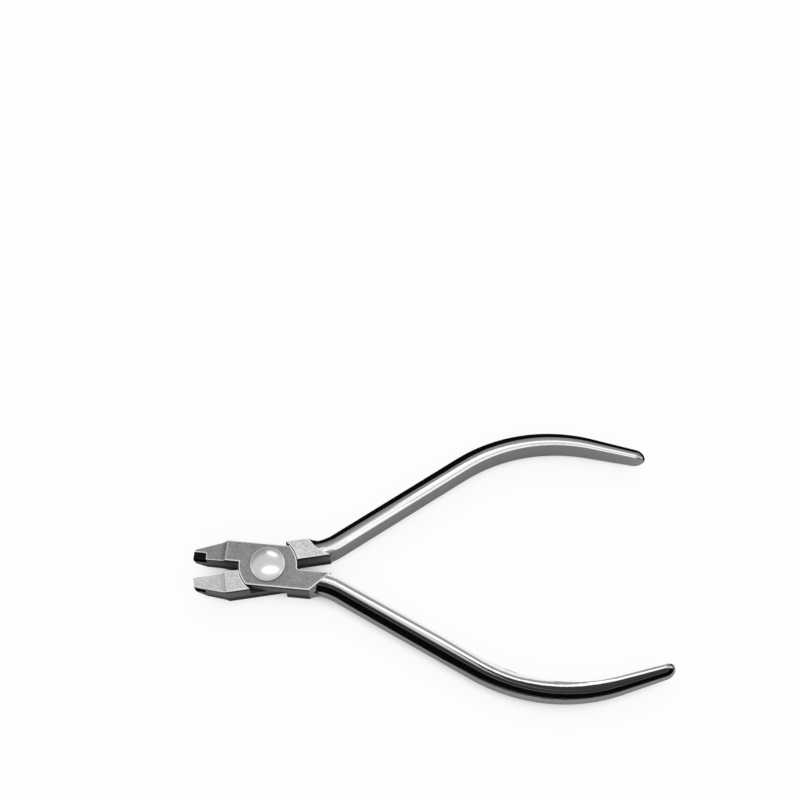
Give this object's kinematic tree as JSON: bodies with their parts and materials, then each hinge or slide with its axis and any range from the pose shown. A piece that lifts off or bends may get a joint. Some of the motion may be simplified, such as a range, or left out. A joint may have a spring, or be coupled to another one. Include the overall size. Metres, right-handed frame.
{
  "type": "orthodontic cutting pliers",
  "caption": "Lap-joint cutting pliers with short stepped jaws, carbide inserts at the tips, a domed pivot head and bowed half-round handles.",
  "frame": {"origin": "pivot axis at the back face of the joint, on which the pliers lie", "axes": "+X along the pliers from the pivot towards the handles, +Y from the lower jaw to the upper jaw, +Z along the pivot axis from the back face to the domed head"},
  "size_m": [0.1297, 0.0778, 0.0111],
  "materials": {
    "satin_steel": "satin blasted joint and jaws, mirror polished handles",
    "polished_steel": "polished",
    "carbide": "ground, near black",
    "silver_solder": "thin solder seam"
  },
  "bodies": {
    "back": {"back_half": "satin_steel", "pivot_rivet": "polished_steel", "lower_insert": "carbide", "lower_braze_seam": "silver_solder"},
    "front": {"front_half": "satin_steel", "upper_insert": "carbide", "upper_braze_seam": "silver_solder"}
  },
  "joints": [
    {"name": "pivot", "type": "hinge", "parent": "back", "child": "front", "pos_m": [0, 0, 0.0047], "axis": [0, 0, -1], "range_deg": [-14, 30]}
  ]
}
